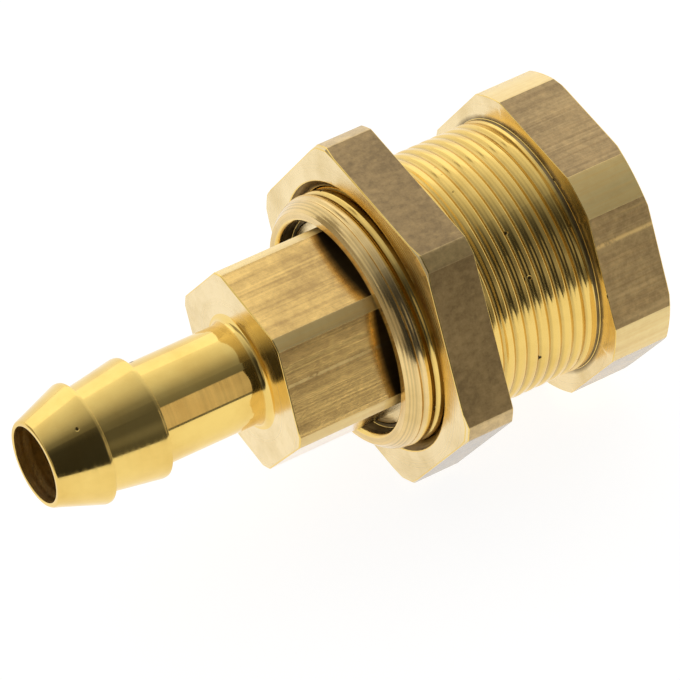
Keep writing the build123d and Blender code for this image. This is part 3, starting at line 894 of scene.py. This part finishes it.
# Shade card: its greys by the angle over from the top, in degrees, and a glow that grows along the axis
# between two places, given as shares of the radius, and is doubled in a stripe
CARD_RADIUS = 0.9
CARD_HALF_LENGTH = 1.4
CARD_STEPS = 48
CARD_GREYS = {-50: 1.0, -36: 0.8, -16: 0.6, 4: 0.29, 12: 0.16, 22: 0.07, 32: 0.04, 91: 0.03}
CARD_FROM = min(CARD_GREYS)
CARD_TO = max(CARD_GREYS)
CARD_GLOW = 0.14
GLOW_REACH = (-0.3, 0.45)
GLOW_STRIPE = (52.0, 62.0, 68.0, 78.0)

# Tan sheet on the shade card: where it begins, is full, is full to and ends
SHEET_X = (0.275, 0.285, 0.328, 0.331)
SHEET_LEAN = (39.0, 40.0, 84.0, 85.0)
SHEET_COLOUR = (0.69, 0.59, 0.52, 1.0)

# Dark wall, between two angles about the vertical in degrees
WALL_RADIUS = 1.1
WALL_FROM = -45.0
WALL_TO = 62.0
WALL_STEPS = 16
WALL_HEIGHT = 0.65
WALL_COLOUR = (0.36, 0.33, 0.28, 1.0)

# Soft lamp
LAMP_PLACE = (0.3, 1.0, 0.6)
LAMP_AIM = (-0.01, 0, 0)
LAMP_SIZE = 1.2
LAMP_POWER = 1.5


def seen_directly(tree):
    """1 for camera, glossy and transmission rays, and 0 for the others."""
    path = tree.nodes.new("ShaderNodeLightPath")
    total = path.outputs["Is Camera Ray"]
    for ray in ("Is Glossy Ray", "Is Transmission Ray"):
        add = tree.nodes.new("ShaderNodeMath")
        add.operation = "MAXIMUM"
        tree.links.new(total, add.inputs[0])
        tree.links.new(path.outputs[ray], add.inputs[1])
        total = add.outputs[0]
    return total


def stage_mesh(name, vertices, faces):
    """A plain mesh that belongs to the stage."""
    mesh = bpy.data.meshes.new(name)
    mesh.from_pydata(vertices, [], faces)
    made = add_object(name, mesh)
    made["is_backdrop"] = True
    return made


# Floor, tilted so that the nut and the front hexagon both stand on it
nut_bottom = (NUT_FRONT_X, -NUT_FLATS / 2)
hex_bottom = (FRONT_X, -BODY_FLATS / 2)
floor_tilt = atan2(hex_bottom[1] - nut_bottom[1], hex_bottom[0] - nut_bottom[0])
half_floor = FLOOR_SIZE / 2
floor_corners = [
    (-half_floor, -half_floor, 0),
    (half_floor, -half_floor, 0),
    (half_floor, half_floor, 0),
    (-half_floor, half_floor, 0),
]
floor = stage_mesh("floor", floor_corners, [(0, 1, 2, 3)])
floor.location = (nut_bottom[0] * MM, 0, (nut_bottom[1] - FLOOR_DROP) * MM)
floor.rotation_euler = (0, -floor_tilt, 0)
paper = Graph("floor_paper")
paper.set(Base_Color=(FLOOR_GREY, FLOOR_GREY, FLOOR_GREY, 1.0), Roughness=1.0, Specular_IOR_Level=0.0)
paper.set(Emission_Color=(1.0, 1.0, 1.0, 1.0))
paper.set(Emission_Strength=paper.times(seen_directly(paper.tree), FLOOR_LIFT))
floor.data.materials.append(paper.material)

world = bpy.data.worlds.new("studio")
bpy.context.scene.world = world
world.use_nodes = True
background = world.node_tree.nodes["Background"]
background.inputs["Color"].default_value = (1.0, 1.0, 1.0, 1.0)
level = world.node_tree.nodes.new("ShaderNodeMapRange")
world.node_tree.links.new(seen_directly(world.node_tree), level.inputs["Value"])
level.inputs["To Min"].default_value = WORLD_LIGHT
level.inputs["To Max"].default_value = 1.0
world.node_tree.links.new(level.outputs[0], background.inputs["Strength"])


def stage_card(name, vertices, rows):
    """A card of the stage from pairs of points along it, seen in the brass but not by the camera."""
    faces = [(2 * row, 2 * row + 1, 2 * row + 3, 2 * row + 2) for row in range(rows)]
    card = stage_mesh(name, vertices, faces)
    card.visible_camera = False
    g = Graph(name)
    g.set(Base_Color=(0.0, 0.0, 0.0, 1.0), Roughness=1.0, Specular_IOR_Level=0.0)
    card.data.materials.append(g.material)
    return g


def shade_card():
    """A curved card on the camera's side, from overhead down to the table, dark where the camera stands."""
    reach = CARD_TO - CARD_FROM
    vertices = []
    for step in range(CARD_STEPS + 1):
        lean = radians(CARD_FROM + reach * step / CARD_STEPS)
        for x in (-CARD_HALF_LENGTH, CARD_HALF_LENGTH):
            vertices.append((x, -CARD_RADIUS * sin(lean), CARD_RADIUS * cos(lean)))
    g = stage_card("shade_card", vertices, CARD_STEPS)
    along = g.along()
    lean = g.around()
    ramp = g.add("ShaderNodeValToRGB")
    g.join(g.span(lean, radians(CARD_FROM), radians(CARD_TO)), ramp.inputs[0])
    elements = ramp.color_ramp.elements
    elements[1].position = 1.0
    for degrees_over in list(CARD_GREYS)[1:-1]:
        elements.new((degrees_over - CARD_FROM) / reach)
    for element, grey in zip(elements, CARD_GREYS.values()):
        element.color = (grey, grey, grey, 1.0)
    glow = g.span(along, GLOW_REACH[0] * CARD_RADIUS, GLOW_REACH[1] * CARD_RADIUS, 0.0, CARD_GLOW)
    stripe = g.between(lean, *[radians(limit) for limit in GLOW_STRIPE])
    mixed = g.add("ShaderNodeVectorMath", operation="ADD")
    g.join(ramp.outputs["Color"], mixed.inputs[0])
    g.join(g.times(glow, g.plus(stripe, 1.0)), mixed.inputs[1])
    sheet = g.times(g.between(along, *SHEET_X), g.between(lean, *[radians(limit) for limit in SHEET_LEAN]))
    g.set(Emission_Color=g.mix(sheet, mixed.outputs[0], SHEET_COLOUR), Emission_Strength=1.0)


def dark_wall():
    """A dark wall standing on the table at the hose's end."""
    vertices = []
    for step in range(WALL_STEPS + 1):
        turn = radians(WALL_FROM + (WALL_TO - WALL_FROM) * step / WALL_STEPS)
        for z in (0.0, WALL_HEIGHT):
            vertices.append((-WALL_RADIUS * cos(turn), WALL_RADIUS * sin(turn), z))
    g = stage_card("dark_wall", vertices, WALL_STEPS)
    g.set(Emission_Color=WALL_COLOUR, Emission_Strength=1.0)


shade_card()
dark_wall()

# A large soft lamp on the far side
lamp = bpy.data.lights.new("far_softbox", "AREA")
lamp.shape = "SQUARE"
lamp.size = LAMP_SIZE
lamp.energy = LAMP_POWER
softbox = add_object("far_softbox", lamp)
softbox.location = LAMP_PLACE
softbox.rotation_euler = (Vector(LAMP_AIM) - Vector(LAMP_PLACE)).to_track_quat("-Z", "Y").to_euler()

# Camera at the photograph's angle, with its distance and lens fitted to the outlines
CAMERA_AZIMUTH = -32.631
CAMERA_ELEVATION = 49.167
CAMERA_TILT = 2.426
CAMERA_DISTANCE = 425.721
CAMERA_SHIFT = (1.757, 1.708)
CAMERA_FOCUS_PIXELS = 5876.9
FIT_ORIGIN_X = -13.924
IMAGE_PIXELS = 680
SENSOR = 36.0
NEAREST = 0.01
FARTHEST = 20.0

azimuth = radians(CAMERA_AZIMUTH)
elevation = radians(CAMERA_ELEVATION)
right = Vector((cos(azimuth), sin(azimuth), 0))
back = Vector((sin(azimuth) * cos(elevation), -cos(azimuth) * cos(elevation), sin(elevation)))
up = back.cross(right)
untilt = Matrix.Rotation(radians(-CAMERA_TILT), 3, "Y")
eye = back * CAMERA_DISTANCE - right * CAMERA_SHIFT[0] - up * CAMERA_SHIFT[1]
eye = untilt @ eye + Vector((FIT_ORIGIN_X, 0, 0))
axes = Matrix((untilt @ right, untilt @ up, untilt @ back)).transposed()

lens = bpy.data.cameras.new("camera")
lens.sensor_width = SENSOR
lens.lens = CAMERA_FOCUS_PIXELS / IMAGE_PIXELS * SENSOR
lens.clip_start = NEAREST
lens.clip_end = FARTHEST
camera = add_object("camera", lens)
camera.matrix_world = Matrix.Translation(eye * MM) @ axes.to_4x4()
bpy.context.scene.camera = camera
bpy.context.scene.view_settings.view_transform = "Standard"

boxes = {"cad": cad_box, "visual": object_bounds()}
{name: [list(corner) for corner in box] for name, box in boxes.items()}
